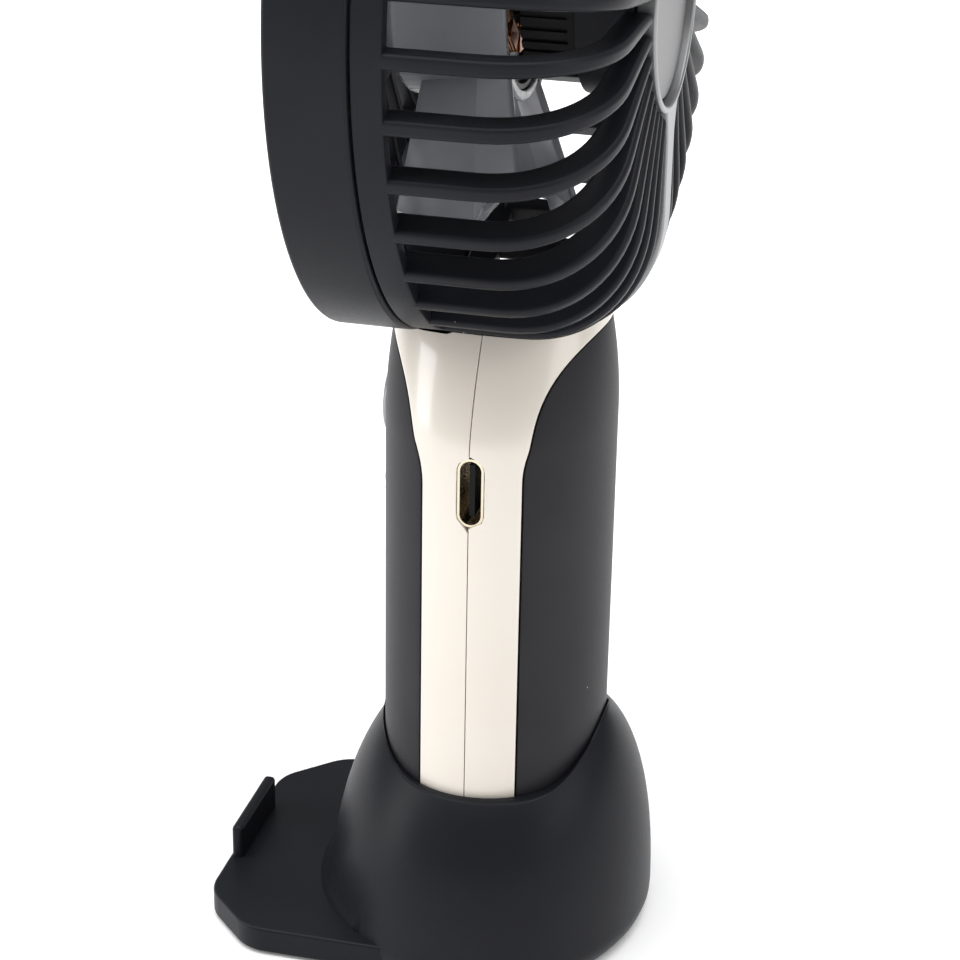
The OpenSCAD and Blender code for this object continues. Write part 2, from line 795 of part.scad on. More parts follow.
module above_rim() {
    ys = [for (y = [-20:1:20]) y];
    translate([-BIG / 2, 0, 0]) rotate([90, 0, 90]) linear_extrude(BIG)
        polygon(concat([for (y = ys) [y, rim_z(y)]], [[20, 80], [-20, 80]]));
}

dock_boss = [[-19.8, 4.5], [19.8, 4.5], [-14, -27], [14, -27]];

module dock_shell() {
    color(charcoal)
        difference() {
            union() {
                difference() {
                    union() {
                        loft([for (z = dome_levels) dome_ring(z, foot_inset(z))]);
                        translate([0, 0, skirt_z]) linear_extrude(tray_top - skirt_z - 0.7) tray_outline(0);
                        translate([0, 0, tray_top - 0.8]) linear_extrude(0.45) tray_outline(0.2);
                        translate([0, 0, tray_top - 0.4]) linear_extrude(0.4) tray_outline(0.6);
                    }
                    // hollow underside
                    translate([0, 0, -1]) linear_extrude(tray_top - 0.6) tray_outline(dock_wall);
                    difference() {
                        loft([for (z = [0, 4, 9, 15, 19]) dome_ring(z, dock_wall + (z < 1 ? lower_inset : 0))]);
                        loft([oval(grip_rx + 2, grip_ry + 2, grip_ry + 2, 3.4),
                            oval(grip_rx + 2, grip_ry + 2, grip_ry + 2, 40)]);
                    }
                }
                // screw bosses
                for (p = dock_boss)
                    translate([p[0], p[1], 2.4]) cylinder(r = 2, h = abs(p[1]) > 20 ? 1.4 : 8);
                // lip of the phone tray
                translate([-lip_hl, 0.35 - tray_reach, skirt_z + 1]) cube([2 * lip_hl, 1.6, tray_top + lip_h - skirt_z - 1]);
            }
            loft([oval(grip_rx + fit_gap, grip_ry + fit_gap, grip_ry + fit_gap, socket_floor),
                oval(grip_rx + fit_gap, grip_ry + fit_gap, grip_ry + fit_gap, 60)]);
            above_rim();
            for (p = dock_boss)
                translate([p[0], p[1], 0]) cylinder(r = 0.95, h = abs(p[1]) > 20 ? 3.3 : 9);
        }
}

module dock_base_plate() {
    color(charcoal)
        difference() {
            union() {
                translate([0, 0, 0.6]) linear_extrude(1.6) tray_outline(dock_wall + plate_gap);
                translate([0, 0, 0.6]) linear_extrude(1.6)
                    polygon([for (p = dome_ring(0.6, dock_wall + lower_inset + plate_gap)) [p[0], p[1]]]);
            }
            linear_extrude(1.1) pad_outline(-0.15);
            for (p = dock_boss)
                translate([p[0], p[1], 0]) cylinder(r = 1.1, h = 4);
            for (p = dock_boss)
                translate([p[0], p[1], 0]) cylinder(r = 2, h = 1.4);
        }
}

module pad_outline(d) {
    polygon([for (p = oval(17.6 - d, 18 - d, 17 - d, 0)) [p[0], p[1]]]);
}

module dock_pad() {
    color("#1c1d1f") linear_extrude(1.05) pad_outline(0);
}

module dock_screws() {
    color(steel)
        for (p = dock_boss)
            translate([p[0], p[1], 0.65]) rotate([180, 0, 0]) pan_screw(1.8, 0.7, 0.9, abs(p[1]) > 20 ? 1.8 : 6.5);
}

dock_shell();
dock_base_plate();
dock_pad();
dock_screws();
handle_front_half();
handle_rear_half();
front_panel();
rear_panel();
handle_screws();
battery_cell();
battery_tabs();
main_board();
usb_shell();
usb_tongue();
tact_switch();
status_leds();
light_guide();
power_button();
motor_leads();
rear_cage();
rear_trim();
rear_disc();
motor_base();
motor_screws();
motor_bearings();
stator_core();
stator_coils();
rotor_bell();
magnet_ring();
motor_shaft();
shaft_clip();
impeller();
front_grille();
front_hub_ring();
front_hub_disc();
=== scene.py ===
# %% [markdown]
# # A handheld fan in its dock
# The CAD model gives every size, place and joint. This script gives the looks. It loads the packed
# parts, rebuilds the outer pieces as smooth meshes with soft edges, and gives every part a finish
# made of nodes. Each step has a short note first, then the code, and the code prints what it made.

# %% Load the frame
import bpy
import bmesh
import json
import math
from mathutils import Matrix, Vector


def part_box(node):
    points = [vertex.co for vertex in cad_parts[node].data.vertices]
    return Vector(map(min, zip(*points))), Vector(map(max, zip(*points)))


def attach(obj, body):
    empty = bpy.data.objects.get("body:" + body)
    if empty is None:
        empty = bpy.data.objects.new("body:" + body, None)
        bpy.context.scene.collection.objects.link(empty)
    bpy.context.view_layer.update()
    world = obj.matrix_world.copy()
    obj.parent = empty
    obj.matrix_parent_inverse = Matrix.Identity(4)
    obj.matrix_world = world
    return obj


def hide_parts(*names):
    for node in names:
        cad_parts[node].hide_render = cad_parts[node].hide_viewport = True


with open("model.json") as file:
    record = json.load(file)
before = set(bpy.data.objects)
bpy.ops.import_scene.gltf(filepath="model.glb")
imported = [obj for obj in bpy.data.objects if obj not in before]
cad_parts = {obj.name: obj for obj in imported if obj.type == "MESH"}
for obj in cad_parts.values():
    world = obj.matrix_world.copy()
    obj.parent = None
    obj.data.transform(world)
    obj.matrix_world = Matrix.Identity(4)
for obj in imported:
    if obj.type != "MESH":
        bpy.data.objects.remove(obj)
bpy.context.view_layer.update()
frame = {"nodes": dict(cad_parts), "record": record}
scene = bpy.context.scene

# %% [markdown]
# ## Camera
# The camera is described the way a person would place it: how far round, how high, and which point
# it stands at. A slight roll matches a hand-held shot. The three turned axes are worked out from
# those angles and written into the camera's matrix, which is exact and needs no constraint.

# %% Camera
camera_turn = math.radians(103.63)
camera_height = math.radians(24.0)
camera_roll = math.radians(-1.017)
camera_place = Vector((0.283809, 0.066067, 0.191083))

back = Vector((math.sin(camera_turn) * math.cos(camera_height),
               -math.cos(camera_turn) * math.cos(camera_height), math.sin(camera_height)))
right = Vector((math.cos(camera_turn), math.sin(camera_turn), 0))
up = back.cross(right)
roll_cos, roll_sin = math.cos(camera_roll), math.sin(camera_roll)
side_axis = roll_cos * right - roll_sin * up
top_axis = roll_sin * right + roll_cos * up

camera_data = bpy.data.cameras.new("camera")
camera_data.sensor_width = 36
camera_data.lens = 94.43
camera_data.clip_start = 0.01
camera = bpy.data.objects.new("camera", camera_data)
camera_axes = Matrix((side_axis, top_axis, back)).transposed()
camera.matrix_world = Matrix.LocRotScale(camera_place, camera_axes, None)
scene.collection.objects.link(camera)
scene.camera = camera
print("camera looks along", [round(-x, 3) for x in back])

# %% [markdown]
# ## Floor and light
# A product table is a white sweep under large soft lights. One big plane is the floor. It glows
# more with distance from the object, so it stays white far away and throws little light up at the
# object. A dim even world fills the shadows, and three area lights shape the form: a broad one
# above, a tall strip on the camera's left and a weak one from the right.

# %% Floor
floor_mesh = bpy.data.meshes.new("floor")
floor_bm = bmesh.new()
bmesh.ops.create_grid(floor_bm, x_segments=1, y_segments=1, size=4)
floor_bm.to_mesh(floor_mesh)
floor_bm.free()
floor = bpy.data.objects.new("floor", floor_mesh)
scene.collection.objects.link(floor)

floor_paint = bpy.data.materials.new("floor_paint")
floor_paint.use_nodes = True
floor_shader = floor_paint.node_tree.nodes["Principled BSDF"]
floor_shader.inputs["Base Color"].default_value = (0.93, 0.93, 0.935, 1)
floor_shader.inputs["Roughness"].default_value = 0.6
floor_shader.inputs["Emission Color"].default_value = (1, 1, 1, 1)
floor_place = floor_paint.node_tree.nodes.new("ShaderNodeTexCoord")
floor_far = floor_paint.node_tree.nodes.new("ShaderNodeVectorMath")
floor_far.operation = "LENGTH"
floor_glow = floor_paint.node_tree.nodes.new("ShaderNodeMapRange")
glow_start, glow_end = 0.1, 0.5
near_glow, far_glow = 0.1, 0.8
for socket, value in (("From Min", glow_start), ("From Max", glow_end),
                      ("To Min", near_glow), ("To Max", far_glow)):
    floor_glow.inputs[socket].default_value = value
floor_paint.node_tree.links.new(floor_place.outputs["Object"], floor_far.inputs[0])
floor_paint.node_tree.links.new(floor_far.outputs["Value"], floor_glow.inputs["Value"])
floor_paint.node_tree.links.new(floor_glow.outputs["Result"], floor_shader.inputs["Emission Strength"])
floor_mesh.materials.append(floor_paint)

# %% Lights
world = bpy.data.worlds.new("studio")
world.use_nodes = True
world.node_tree.nodes["Background"].inputs["Color"].default_value = (1.0, 1.0, 1.0, 1)
world.node_tree.nodes["Background"].inputs["Strength"].default_value = 0.36
scene.world = world
scene.view_settings.view_transform = "Standard"

def soft_light(name, place, aim, width, height, power):
    """A rectangular soft box at place, turned to face aim."""
    data = bpy.data.lights.new(name, "AREA")
    data.shape = "RECTANGLE"
    data.size = width
    data.size_y = height
    data.energy = power
    lamp = bpy.data.objects.new(name, data)
    facing = (Vector(aim) - Vector(place)).to_track_quat("-Z", "Y")
    lamp.matrix_world = Matrix.LocRotScale(Vector(place), facing, None)
    scene.collection.objects.link(lamp)

soft_light("overhead", (0.05, 0.0, 0.85), (0, 0, 0.05), 0.9, 0.9, 9.5)
soft_light("left_strip", (0.25, -0.65, 0.35), (0, 0, 0.09), 0.25, 0.7, 3.2)
soft_light("right_fill", (0.2, 0.7, 0.4), (0, 0, 0.08), 0.4, 0.5, 1.6)

# %% [markdown]
# ## Finishes
# Every finish starts from a Principled shader and a noise in object space. Object coordinates are
# in metres here, so a scale of 3000 makes marks about a third of a millimetre wide. The noise
# drives a small bump and a small change in roughness, and a slower noise shifts the colour.

# %% Finish helpers
def shader_of(material):
    return material.node_tree.nodes["Principled BSDF"]

def new_finish(name, roughness, metallic=0.0, **constants):
    """A material whose constant values sit on the shader's own sockets."""
    material = bpy.data.materials.new(name)
    material.use_nodes = True
    shader = shader_of(material)
    shader.inputs["Roughness"].default_value = roughness
    shader.inputs["Metallic"].default_value = metallic
    for socket, value in constants.items():
        shader.inputs[socket.replace("_", " ")].default_value = value
    return material

def add_node(material, kind, **settings):
    node = material.node_tree.nodes.new(kind)
    for key, value in settings.items():
        if key in node.inputs:
            node.inputs[key].default_value = value
        else:
            setattr(node, key, value)
    return node

def link(material, source, target):
    material.node_tree.links.new(source, target)

def grain(material, scale, bump, rough_low, rough_high, detail=3.0):
    """Fine surface grain: one noise makes the bump and varies the roughness."""
    place = add_node(material, "ShaderNodeTexCoord")
    noise = add_node(material, "ShaderNodeTexNoise", Scale=scale, Detail=detail)
    relief = add_node(material, "ShaderNodeBump", Strength=bump, Distance=0.0001)
    spread = add_node(material, "ShaderNodeMapRange")
    spread.inputs["To Min"].default_value = rough_low
    spread.inputs["To Max"].default_value = rough_high
    link(material, place.outputs["Object"], noise.inputs["Vector"])
    link(material, noise.outputs["Fac"], relief.inputs["Height"])
    link(material, noise.outputs["Fac"], spread.inputs["Value"])
    link(material, relief.outputs["Normal"], shader_of(material).inputs["Normal"])
    link(material, spread.outputs["Result"], shader_of(material).inputs["Roughness"])
    return place

def mottle(material, place, colour_a, colour_b, scale):
    """A slow drift between two close colours."""
    noise = add_node(material, "ShaderNodeTexNoise", Scale=scale, Detail=2.0)
    ramp = add_node(material, "ShaderNodeValToRGB")
    ramp.color_ramp.elements[0].position = 0.35
    ramp.color_ramp.elements[1].position = 0.65
    ramp.color_ramp.elements[0].color = (*colour_a, 1)
    ramp.color_ramp.elements[1].color = (*colour_b, 1)
    link(material, place.outputs["Object"], noise.inputs["Vector"])
    link(material, noise.outputs["Fac"], ramp.inputs["Fac"])
    link(material, ramp.outputs["Color"], shader_of(material).inputs["Base Color"])
    return ramp

def dust(material, place, ramp, scale, reach, colour):
    """Sparse pale specks: the middles of a few cells of a cell pattern."""
    cells = add_node(material, "ShaderNodeTexVoronoi", Scale=scale)
    near = add_node(material, "ShaderNodeMath", operation="LESS_THAN")
    near.inputs[1].default_value = reach
    chosen = add_node(material, "ShaderNodeSeparateColor")
    rare = add_node(material, "ShaderNodeMath", operation="GREATER_THAN")
    rare.inputs[1].default_value = 0.9  # one cell in ten carries a speck
    both = add_node(material, "ShaderNodeMath", operation="MULTIPLY")
    blend = add_node(material, "ShaderNodeMix", data_type="RGBA")
    blend.inputs["B"].default_value = (*colour, 1)
    link(material, place.outputs["Object"], cells.inputs["Vector"])
    link(material, cells.outputs["Distance"], near.inputs[0])
    link(material, cells.outputs["Color"], chosen.inputs["Color"])
    link(material, chosen.outputs["Red"], rare.inputs[0])
    link(material, near.outputs["Value"], both.inputs[0])
    link(material, rare.outputs["Value"], both.inputs[1])
    link(material, both.outputs["Value"], blend.inputs["Factor"])
    link(material, ramp.outputs["Color"], blend.inputs["A"])
    link(material, blend.outputs["Result"], shader_of(material).inputs["Base Color"])

finishes = {}

# %% [markdown]
# ### Dark plastics
# The cage, the handle's inlays and the dock are the same charcoal resin with different sheens: the
# cage is satin, the inlays are a little finer and the dock has a soft-touch feel. Dust sits on all
# of them, so a few pale specks are mixed into the colour.

# %% Dark plastics
def dark_plastic(name, colour, roughness, grain_scale, bump, specks):
    material = new_finish(name, roughness, Specular_IOR_Level=0.12)
    place = grain(material, grain_scale, bump, roughness - 0.05, roughness + 0.07)
    lighter = tuple(c * 1.22 for c in colour)
    ramp = mottle(material, place, colour, lighter, 60)
    dust(material, place, ramp, specks, 0.035, (0.35, 0.35, 0.36))
    return material

finishes["cage_plastic"] = dark_plastic("cage_plastic", (0.0085, 0.009, 0.0115), 0.40, 2600, 0.10, 420)
finishes["panel_plastic"] = dark_plastic("panel_plastic", (0.019, 0.0185, 0.021), 0.46, 3600, 0.12, 300)
finishes["dock_plastic"] = dark_plastic("dock_plastic", (0.0085, 0.009, 0.0115), 0.38, 3200, 0.10, 430)
finishes["black_nylon"] = dark_plastic("black_nylon", (0.008, 0.008, 0.009), 0.5, 2000, 0.2, 200)
finishes["pad_rubber"] = dark_plastic("pad_rubber", (0.012, 0.012, 0.013), 0.85, 1500, 0.5, 500)
print("dark finishes:", sorted(finishes))

# %% [markdown]
# ### Cream plastic
# The handle's body is glossy and warm. Moulded gloss is never quite even, so a broad, very weak
# noise makes its mirror image wander a little, and a thin clear coat gives the crisp highlight.

# %% Cream plastic
cream = new_finish("cream_plastic", 0.24, Coat_Weight=0.35, Coat_Roughness=0.06)
cream_place = grain(cream, 260, 0.035, 0.20, 0.28, detail=1.0)
mottle(cream, cream_place, (0.69, 0.635, 0.565), (0.71, 0.66, 0.59), 40)
finishes["cream_plastic"] = cream

# %% [markdown]
# ### Metals
# Spun discs carry rings of fine scratches. The distance from the fan's axis feeds a
# one-dimensional noise, so every scratch is a circle round that axis. Screws, shaft and socket use
# an even noise instead.

# %% Spun metal
shaft_low, shaft_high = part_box("motor_shaft")
head_z = (shaft_low.z + shaft_high.z) / 2

def spun_metal(name, colour_a, colour_b, roughness, metallic):
    material = new_finish(name, roughness, metallic)
    place = add_node(material, "ShaderNodeTexCoord")
    centre = add_node(material, "ShaderNodeMapping")
    centre.inputs["Location"].default_value = (0, 0, -head_z)
    centre.inputs["Scale"].default_value = (1, 0, 1)
    radius = add_node(material, "ShaderNodeVectorMath", operation="LENGTH")
    lines = add_node(material, "ShaderNodeTexNoise", noise_dimensions="1D", Scale=5200.0, Detail=3.0)
    ramp = add_node(material, "ShaderNodeValToRGB")
    ramp.color_ramp.elements[0].color = (*colour_a, 1)
    ramp.color_ramp.elements[1].color = (*colour_b, 1)
    relief = add_node(material, "ShaderNodeBump", Strength=0.12, Distance=0.00005)
    spread = add_node(material, "ShaderNodeMapRange")
    spread.inputs["To Min"].default_value = roughness - 0.08
    spread.inputs["To Max"].default_value = roughness + 0.1
    link(material, place.outputs["Object"], centre.inputs["Vector"])
    link(material, centre.outputs["Vector"], radius.inputs[0])
    link(material, radius.outputs["Value"], lines.inputs["W"])
    link(material, lines.outputs["Fac"], ramp.inputs["Fac"])
    link(material, lines.outputs["Fac"], relief.inputs["Height"])
    link(material, lines.outputs["Fac"], spread.inputs["Value"])
    link(material, ramp.outputs["Color"], shader_of(material).inputs["Base Color"])
    link(material, relief.outputs["Normal"], shader_of(material).inputs["Normal"])
    link(material, spread.outputs["Result"], shader_of(material).inputs["Roughness"])
    return material

finishes["gunmetal_disc"] = spun_metal("gunmetal_disc", (0.13, 0.13, 0.133), (0.19, 0.19, 0.194), 0.42, 0.75)
finishes["silver_trim"] = spun_metal("silver_trim", (0.2, 0.203, 0.207), (0.27, 0.273, 0.277), 0.36, 0.7)

# %% Plain metals
def plain_metal(name, colour, roughness, scale=1800.0):
    material = new_finish(name, roughness, 1.0)
    place = grain(material, scale, 0.12, roughness - 0.06, roughness + 0.1)
    mottle(material, place, tuple(0.88 * c for c in colour), colour, 120)
    return material

finishes["steel"] = plain_metal("steel", (0.62, 0.62, 0.62), 0.32)
finishes["socket_steel"] = plain_metal("socket_steel", (0.66, 0.58, 0.44), 0.24)
finishes["nickel"] = plain_metal("nickel", (0.66, 0.63, 0.58), 0.3)
finishes["bearing_steel"] = plain_metal("bearing_steel", (0.72, 0.72, 0.73), 0.18)
finishes["core_steel"] = plain_metal("core_steel", (0.25, 0.26, 0.28), 0.45)
finishes["blackened_steel"] = plain_metal("blackened_steel", (0.05, 0.05, 0.054), 0.42)
finishes["magnet"] = plain_metal("magnet", (0.09, 0.09, 0.095), 0.5)
print("finishes so far:", len(finishes))

# %% [markdown]
# ### Copper windings, board, cell sleeve and the small parts
# A wave pattern across each coil reads as wire laid side by side. The board is solder mask over
# copper, so faint straight tracks show under its green. The rest are plain mouldings with a grain.

# %% Inside finishes
copper = new_finish("copper_wire", 0.3, 1.0)
copper_place = add_node(copper, "ShaderNodeTexCoord")
turns = add_node(copper, "ShaderNodeTexWave", Scale=900.0, Distortion=0.4, bands_direction="Y")
copper_ramp = add_node(copper, "ShaderNodeValToRGB")
copper_ramp.color_ramp.elements[0].color = (0.22, 0.07, 0.02, 1)
copper_ramp.color_ramp.elements[1].color = (0.62, 0.27, 0.12, 1)
copper_relief = add_node(copper, "ShaderNodeBump", Strength=0.6, Distance=0.0002)
link(copper, copper_place.outputs["Object"], turns.inputs["Vector"])
link(copper, turns.outputs["Fac"], copper_ramp.inputs["Fac"])
link(copper, turns.outputs["Fac"], copper_relief.inputs["Height"])
link(copper, copper_ramp.outputs["Color"], shader_of(copper).inputs["Base Color"])
link(copper, copper_relief.outputs["Normal"], shader_of(copper).inputs["Normal"])
finishes["copper_wire"] = copper

board = new_finish("board_laminate", 0.35)
board_place = add_node(board, "ShaderNodeTexCoord")
tracks = add_node(board, "ShaderNodeTexBrick", Scale=260.0)
tracks.inputs["Color1"].default_value = (0.012, 0.075, 0.032, 1)
tracks.inputs["Color2"].default_value = (0.016, 0.09, 0.04, 1)
tracks.inputs["Mortar"].default_value = (0.035, 0.15, 0.06, 1)
link(board, board_place.outputs["Object"], tracks.inputs["Vector"])
link(board, tracks.outputs["Color"], shader_of(board).inputs["Base Color"])
finishes["board_laminate"] = board

def moulding(name, colour, roughness, scale=1500, bump=0.08, **constants):
    material = new_finish(name, roughness, **constants)
    place = grain(material, scale, bump, roughness - 0.05, roughness + 0.08)
    mottle(material, place, tuple(0.9 * c for c in colour), colour, 90)
    return material

finishes["cell_wrap"] = moulding("cell_wrap", (0.05, 0.2, 0.42), 0.25)
finishes["led_white"] = moulding("led_white", (0.85, 0.85, 0.78), 0.4)
finishes["lead_jacket"] = moulding("lead_jacket", (0.42, 0.03, 0.025), 0.55)
finishes["clear_guide"] = moulding("clear_guide", (0.88, 0.9, 0.92), 0.2, Transmission_Weight=0.6)

# %% [markdown]
# ### Smoke plastic
# The blades are translucent grey: light enters, scatters and leaves a softly darker tint. A part
# of the light goes straight through, the rest is diffuse, and the gloss stays on top.

# %% Smoke plastic
finishes["smoke_plastic"] = moulding("smoke_plastic", (0.27, 0.275, 0.30), 0.2, scale=500, bump=0.03,
                                     Transmission_Weight=0.35, IOR=1.46)

slot_of_node = {row["node"]: row["material_slot"] for row in frame["record"]["subparts"]}
for node_name, node in frame["nodes"].items():
    node.data.materials.clear()
    node.data.materials.append(finishes[slot_of_node[node_name]])
print("nodes with a finish:", len(slot_of_node))

# %% [markdown]
# ## Shared modelling helpers
# Sizes below are in millimetres and turned to metres once, at the end. A mapped sheet is a flat
# grid whose points are sent to their place by a rule. A spun piece is an outline turned round the
# fan's axis. Softening bevels only the edges that are really sharp, the way a mould maker would.

# %% Modelling helpers
MM = 0.001
HEAD = head_z / MM

def mapped_sheet(across, along, place):
    """A grid of cells whose corners, given as shares 0 to 1, are placed by a rule."""
    bm = bmesh.new()
    bmesh.ops.create_grid(bm, x_segments=across, y_segments=along, size=1)
    for v in bm.verts:
        v.co = Vector(place((v.co.x + 1) / 2, (v.co.y + 1) / 2))
    return bm

def chain(bm, points, closed):
    """Vertices joined by edges, from [radius, depth] points in the plane above the axis."""
    verts = [bm.verts.new((r, y, HEAD)) for r, y in points]
    pairs = zip(verts, verts[1:] + verts[:1]) if closed else zip(verts, verts[1:])
    return verts, [bm.edges.new(pair) for pair in pairs]

def spun(bm, points, steps=144, closed=True):
    """Turns an outline of [radius, depth] points a full turn round the fan's axis."""
    verts, edges = chain(bm, points, closed)
    bmesh.ops.spin(bm, geom=verts + edges, cent=(0, 0, HEAD), axis=(0, 1, 0), angle=2 * math.pi,
                   steps=steps, use_merge=True)

def turn_about_axis(bm, verts, degrees):
    bmesh.ops.rotate(bm, verts=verts, cent=(0, 0, HEAD),
                     matrix=Matrix.Rotation(math.radians(degrees), 3, "Y"))

def repeated(bm, count, degrees):
    """Adds count copies of everything in bm, spread over some degrees round the fan's axis."""
    bmesh.ops.spin(bm, geom=bm.verts[:] + bm.edges[:] + bm.faces[:], cent=(0, 0, HEAD),
                   axis=(0, 1, 0), angle=math.radians(degrees), steps=count, use_duplicate=True)

def spun_arc(bm, points, start, sweep, steps=10):
    """Turns a solid outline part of a turn. Angles are from straight down towards +X, in degrees."""
    verts, edges = chain(bm, points, True)
    face = bm.faces.new(verts)
    turn_about_axis(bm, verts, 90 - start)
    bmesh.ops.spin(bm, geom=verts + edges + [face], cent=(0, 0, HEAD), axis=(0, 1, 0),
                   angle=-math.radians(sweep), steps=steps)

def clean(bm):
    bmesh.ops.remove_doubles(bm, verts=bm.verts[:], dist=0.0005)
    bmesh.ops.recalc_face_normals(bm, faces=bm.faces[:])

def soften(bm, width, segments=2, least=35):
    """Rounds every edge that turns by more than least degrees."""
    sharp = [e for e in bm.edges if len(e.link_faces) == 2 and math.degrees(e.calc_face_angle(0)) > least]
    bmesh.ops.bevel(bm, geom=sharp, offset=width, offset_type="OFFSET", segments=segments, profile=0.5,
                    affect="EDGES", clamp_overlap=True, material=-1)

def finished(name, bm, body, slot, nodes, smooth=40, weighted=True):
    """Turns the bmesh into a piece in metres that rides on its body and stands for its CAD nodes."""
    bmesh.ops.scale(bm, vec=(MM, MM, MM), verts=bm.verts[:])
    mesh = bpy.data.meshes.new(name)
    bm.to_mesh(mesh)
    bm.free()
    mesh.shade_smooth()
    mesh.set_sharp_from_angle(angle=math.radians(smooth))
    piece = bpy.data.objects.new(name, mesh)
    scene.collection.objects.link(piece)
    if weighted:
        piece.modifiers.new("even_shading", "WEIGHTED_NORMAL").keep_sharp = True
    mesh.materials.append(finishes[slot])
    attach(piece, body)
    if nodes:
        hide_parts(*nodes)
    print(name, "has", len(mesh.polygons), "faces")
    return piece

def joined(target, source):
    """Adds one bmesh's shapes to another."""
    mesh = bpy.data.meshes.new("passing")
    source.to_mesh(mesh)
    source.free()
    target.from_mesh(mesh)
    bpy.data.meshes.remove(mesh)

# %% [markdown]
# ## The cage's outline
# Seen from the side, the cage runs straight back from its rim, then turns in over a rounded corner
# to a flat back. One curve with a power above 2 gives that corner: 2 would be an ellipse, and a
# little more makes it squarer. Ribs, spine and trim all take their outline from it.

# %% Cage outline
cage_radius = (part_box("rear_cage")[1].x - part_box("rear_cage")[0].x) / 2 / MM
back_depth = 19.4
corner_radius = 26
corner_depth = 5
corner_power = 2.2
rim_back = -3.8
parting = -7.45
bezel_radius = 14.1
ring_wall = 0.9
strip_half = 1.95

def corner(inset, steps=16):
    """[radius, depth] points round the cage's back corner, this far below its surface."""
    points = []
    for i in range(steps + 1):
        t = math.pi / 2 * i / steps
        out, rear = cage_radius - corner_radius - inset, back_depth - corner_depth - inset
        points.append((corner_radius + out * math.cos(t) ** (2 / corner_power),
                       corner_depth + rear * math.sin(t) ** (2 / corner_power)))
    return points

def wall_outline(shallow, deep, inner, front):
    """Outline of a band of the cage's wall, between two depths below its surface."""
    outer = [(cage_radius - shallow, front)] + corner(shallow) + [(inner, back_depth - shallow)]
    under = [(inner, back_depth - deep)] + corner(deep)[::-1] + [(cage_radius - deep, front)]
    return outer + under

print("cage radius in mm:", round(cage_radius, 2))

# %% [markdown]
# ## Ribbed rear cage
# Thirty-six identical ribs make the basket. One rib is an outline, extruded to its thickness, made
# thinner towards the middle and bevelled, because light catches each rounded outer edge. Spin with
# duplicates then sets the copies round the axis. The rim, spine and centre plate join them.

# %% One rib, and its copies
rib_positions = 36
rib_thick = 2.0
rib_depth = 3.4

def plate_from(bm, outline, half_width):
    """Extrudes a [radius, depth] outline to both sides of the plane through the axis, pointing down."""
    verts = [bm.verts.new((-half_width, y, HEAD - r)) for r, y in outline]
    face = bm.faces.new(verts)
    grown = bmesh.ops.extrude_face_region(bm, geom=[face])
    moved = [g for g in grown["geom"] if isinstance(g, bmesh.types.BMVert)]
    bmesh.ops.translate(bm, verts=moved, vec=(2 * half_width, 0, 0))

def thin_towards_middle(bm, thick):
    """Sets the thickness of a plate drawn one wide: full at the rim, about two thirds at the hub."""
    for v in bm.verts:
        distance = math.hypot(v.co.x, v.co.z - HEAD)
        v.co.x *= thick * (0.64 + 0.36 * (distance - 10) / 33.8)

rib = bmesh.new()
plate_from(rib, wall_outline(0, rib_depth, bezel_radius + 0.1, rim_back - 1), 0.5)
thin_towards_middle(rib, rib_thick)
clean(rib)
soften(rib, 0.62, segments=3, least=60)
step = 360 / rib_positions
turn_about_axis(rib, rib.verts[:], -step)
repeated(rib, rib_positions - 2, -(rib_positions - 2) * step)
print("rib faces:", len(rib.faces))

# %% Rim, plate, cup, spine and neck stub
basket = bmesh.new()
spun(basket, [(cage_radius - 2.1, parting + 0.15), (cage_radius, parting + 0.15), (cage_radius, rim_back),
              (cage_radius - 2.1, rim_back)], steps=192)
plate_back = 17.2
spun(basket, [(0, plate_back - 1.5), (bezel_radius + 1.4, plate_back - 1.5), (bezel_radius + 1.4, plate_back),
              (0, plate_back)], closed=False)
spun(basket, [(11, 10), (12.4, 10), (12.4, plate_back - 1), (11, plate_back - 1)])
plate_from(basket, wall_outline(0.9, rib_depth + 0.4, bezel_radius + 0.1, rim_back - 1), 2.5)
lug_angles = (30, 150, 270)
neck_band = [p for p in wall_outline(0, 3.2, bezel_radius, parting + 0.15) if p[1] < 10.5 and p[0] > 30]
spun_arc(basket, neck_band, -10.4, 20.8, steps=14)
for third in lug_angles:
    spun_arc(basket, [(38.7, parting + 0.15), (40.5, parting + 0.15), (40.5, parting + 1.25),
                      (38.7, parting + 1.25)], third - 6, 12, steps=8)
for radius, low, high in ((6, 78.9, 88), (7.4, 78.8, 80.6)):
    bmesh.ops.create_cone(basket, cap_ends=True, segments=64, radius1=radius, radius2=radius,
                          depth=high - low,
                          matrix=Matrix.Translation((0, 2, (low + high) / 2)))
clean(basket)
soften(basket, 0.3)
joined(basket, rib)
finished("rear_basket", basket, "fan", "cage_plastic", ["rear_cage"])

# %% [markdown]
# ## Front ring and grille
# The front cover is a plain wide ring with straight bars behind its front edge. The ring is an
# outline spun round the axis. A bar is a bent strip seen from the side, so it is drawn as an
# outline, extruded, bevelled and spun into its thirty-six copies, like the ribs.

# %% Front cover
ring_radius = (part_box("front_grille")[1].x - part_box("front_grille")[0].x) / 2 / MM
ring_front = -16.8
bar_front = -19.3
bar_count = 36
bar_thick = 1.5

